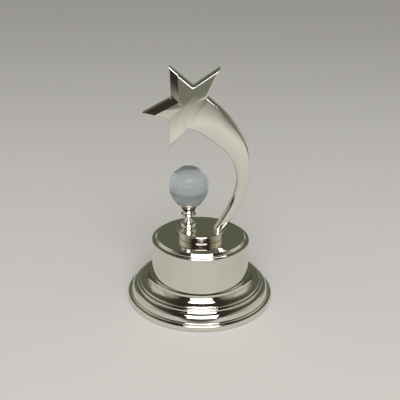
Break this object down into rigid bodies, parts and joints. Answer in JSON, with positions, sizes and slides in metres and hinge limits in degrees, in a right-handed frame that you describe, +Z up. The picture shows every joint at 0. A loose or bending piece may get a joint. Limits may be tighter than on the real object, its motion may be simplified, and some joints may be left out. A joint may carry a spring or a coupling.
{
  "type": "star trophy",
  "caption": "Trophy with a comet-tailed star sweeping over a glass ball on a turned stand, on a round stepped polished metal base.",
  "frame": {"origin": "centre of the underside of the base, on the table", "axes": "+Z up, -Y towards the viewer that the star faces, +X to that viewer's right, where the tail is"},
  "size_m": [0.11, 0.11, 0.1746],
  "materials": {
    "polished_nickel": "mirror polished, slightly warm nickel plate",
    "crystal": "clear optical glass, polished",
    "clear_adhesive": "clear cured adhesive",
    "zinc_steel": "bright zinc plate",
    "ballast_iron": "as cast, blackened",
    "board": "hardboard, unfinished",
    "felt": "black felt, glued to the board"
  },
  "bodies": {
    "root": {"foot_shell": "polished_nickel", "drum_shell": "polished_nickel", "step_disc": "polished_nickel", "star_figure": "polished_nickel", "star_ferrule": "polished_nickel", "ball_stem": "polished_nickel", "ball_collar": "polished_nickel", "ball_cup": "polished_nickel", "crystal_ball": "crystal", "ball_bond": "clear_adhesive", "drum_brace": "zinc_steel", "tie_rod": "zinc_steel", "tie_nuts": "zinc_steel", "tie_washers": "zinc_steel", "stud_washers": "zinc_steel", "stud_nuts": "zinc_steel", "ball_stud": "zinc_steel", "board_screws": "zinc_steel", "ballast_disc": "ballast_iron", "base_board": "board", "felt_pad": "felt"}
  },
  "joints": []
}
